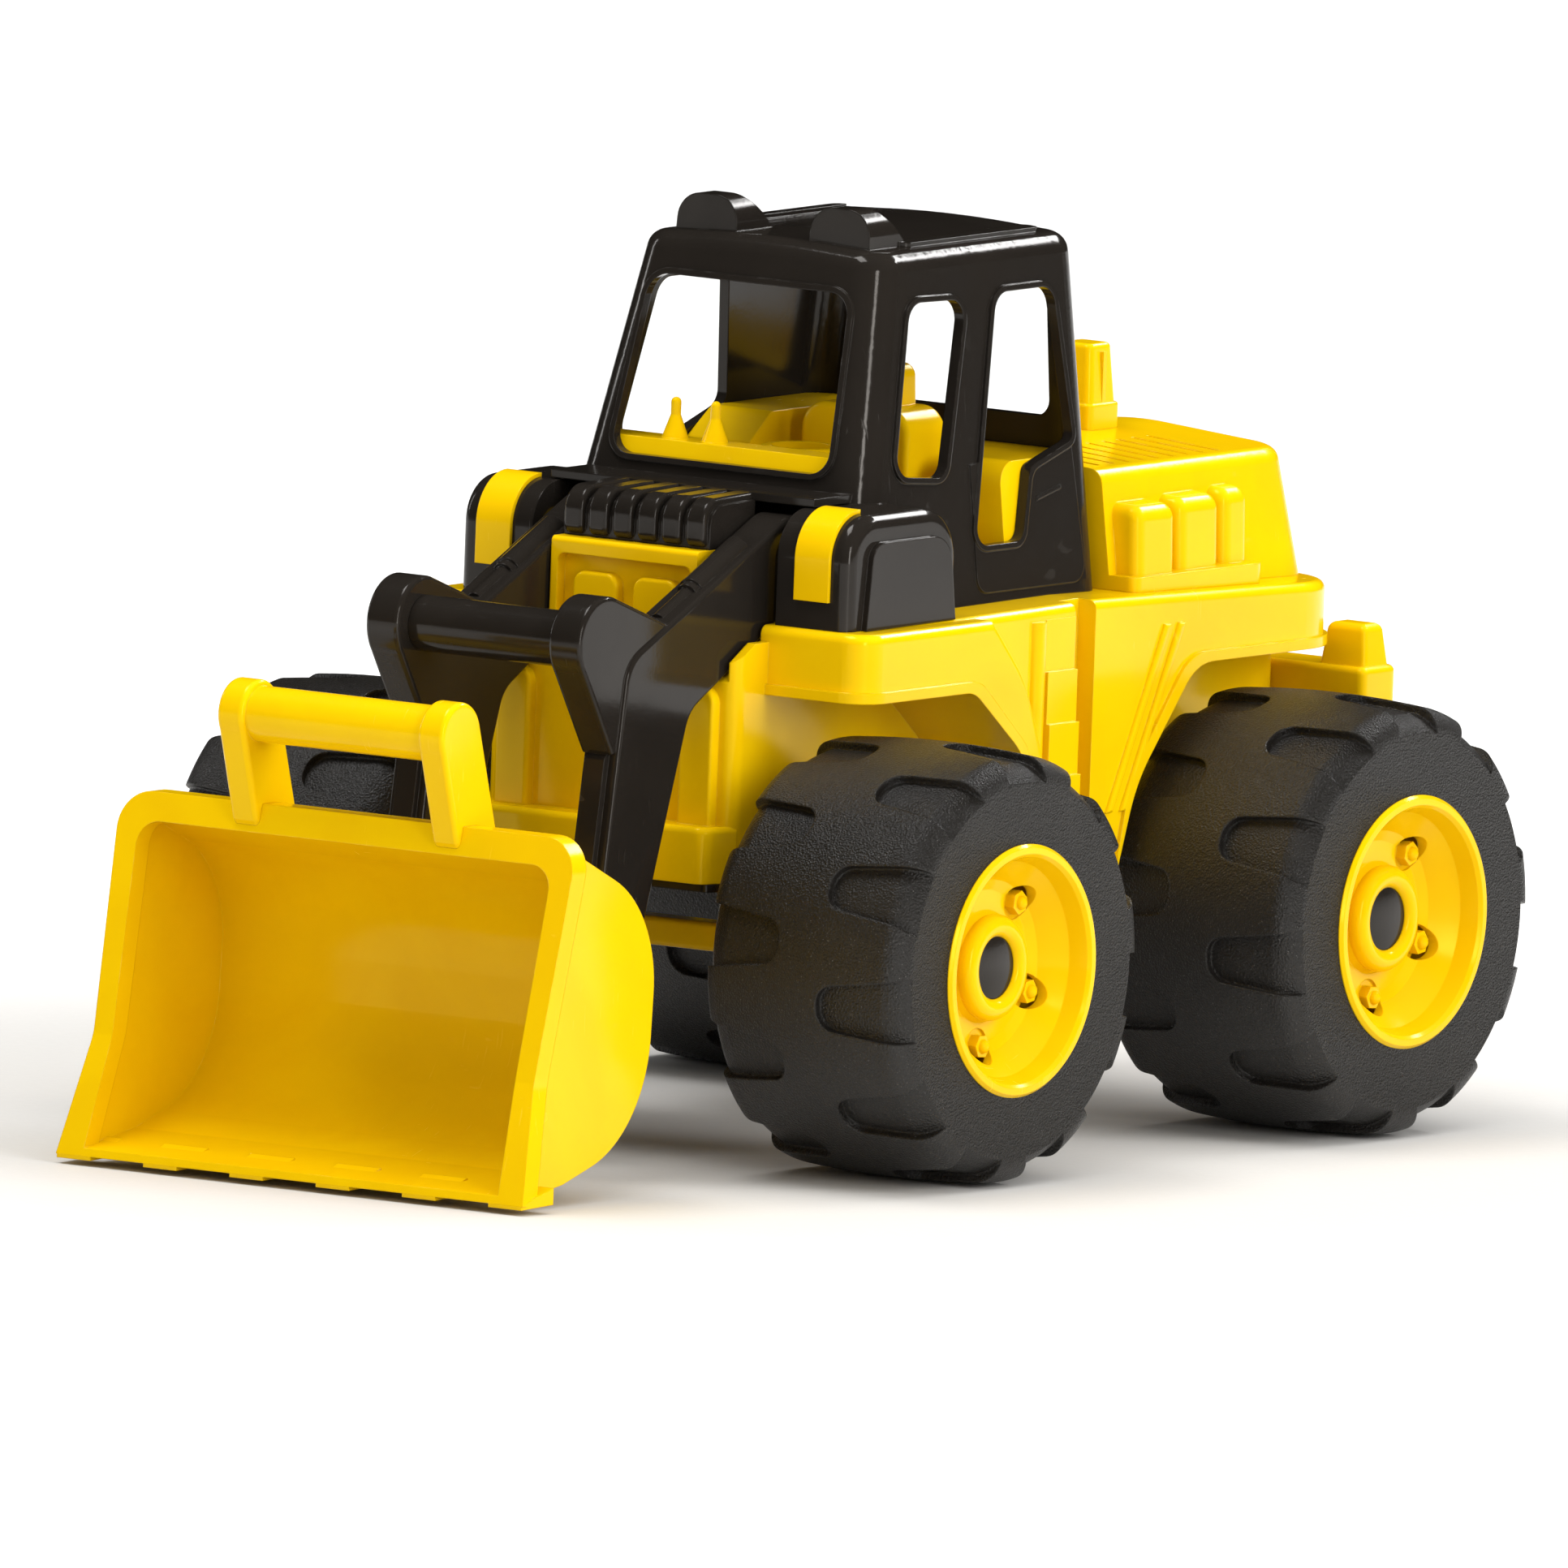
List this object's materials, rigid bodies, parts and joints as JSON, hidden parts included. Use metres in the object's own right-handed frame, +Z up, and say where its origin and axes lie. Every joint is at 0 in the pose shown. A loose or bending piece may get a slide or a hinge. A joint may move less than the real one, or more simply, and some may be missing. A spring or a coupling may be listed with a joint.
{
  "type": "toy wheel loader",
  "caption": "Plastic toy wheel loader with a hollow shell body, open cab, lifting boom, tilting bucket with a grip bar, and chunky hollow tyres on dished rims.",
  "frame": {"origin": "centre of the bounding box at ground level", "axes": "-Y towards the bucket (front), +X towards the toy's left, +Z up"},
  "size_m": [0.3402, 0.569, 0.347],
  "materials": {
    "yellow_plastic": "glossy moulded",
    "black_plastic": "glossy moulded",
    "tyre_plastic": "stippled blow-moulded",
    "steel": "zinc-plated"
  },
  "bodies": {
    "chassis": {"chassis_shell": "yellow_plastic", "floor_tray": "black_plastic", "tray_screws": "steel", "engine_hood": "yellow_plastic", "exhaust_stack": "yellow_plastic", "rear_bumper": "yellow_plastic", "cab_shell": "black_plastic", "cab_interior": "yellow_plastic", "driver_seat": "yellow_plastic", "front_grille": "black_plastic", "marker_strip_left": "yellow_plastic", "marker_strip_right": "yellow_plastic", "boom_pivot_pin": "steel", "front_axle_beam": "yellow_plastic", "rear_axle_beam": "yellow_plastic", "front_axle_rod": "steel", "rear_axle_rod": "steel", "front_axle_nuts": "steel", "rear_axle_nuts": "steel"},
    "boom": {"boom_arm_left": "black_plastic", "boom_arm_right": "black_plastic", "boom_crossbar": "black_plastic"},
    "loader_bucket": {"bucket": "yellow_plastic", "bucket_handle": "yellow_plastic", "bucket_pivot_pin": "steel"},
    "wheel_front_left": {"tyre_front_left": "tyre_plastic", "rim_front_left": "yellow_plastic", "hub_cap_front_left": "black_plastic"},
    "wheel_front_right": {"tyre_front_right": "tyre_plastic", "rim_front_right": "yellow_plastic", "hub_cap_front_right": "black_plastic"},
    "wheel_rear_left": {"tyre_rear_left": "tyre_plastic", "rim_rear_left": "yellow_plastic", "hub_cap_rear_left": "black_plastic"},
    "wheel_rear_right": {"tyre_rear_right": "tyre_plastic", "rim_rear_right": "yellow_plastic", "hub_cap_rear_right": "black_plastic"}
  },
  "joints": [
    {"name": "boom_lift", "type": "hinge", "parent": "chassis", "child": "boom", "pos_m": [0, -0.0445, 0.2225], "axis": [-1, 0, 0], "range_deg": [0, 50]},
    {"name": "bucket_tilt", "type": "hinge", "parent": "boom", "child": "loader_bucket", "pos_m": [0, -0.1705, 0.072], "axis": [1, 0, 0], "range_deg": [-25, 50]},
    {"name": "spin_front_left", "type": "hinge", "parent": "chassis", "child": "wheel_front_left", "pos_m": [0.125, -0.0585, 0.0812], "axis": [1, 0, 0], "continuous": true},
    {"name": "spin_front_right", "type": "hinge", "parent": "chassis", "child": "wheel_front_right", "pos_m": [-0.125, -0.0585, 0.0812], "axis": [1, 0, 0], "continuous": true},
    {"name": "spin_rear_left", "type": "hinge", "parent": "chassis", "child": "wheel_rear_left", "pos_m": [0.125, 0.193, 0.0812], "axis": [1, 0, 0], "continuous": true},
    {"name": "spin_rear_right", "type": "hinge", "parent": "chassis", "child": "wheel_rear_right", "pos_m": [-0.125, 0.193, 0.0812], "axis": [1, 0, 0], "continuous": true}
  ]
}
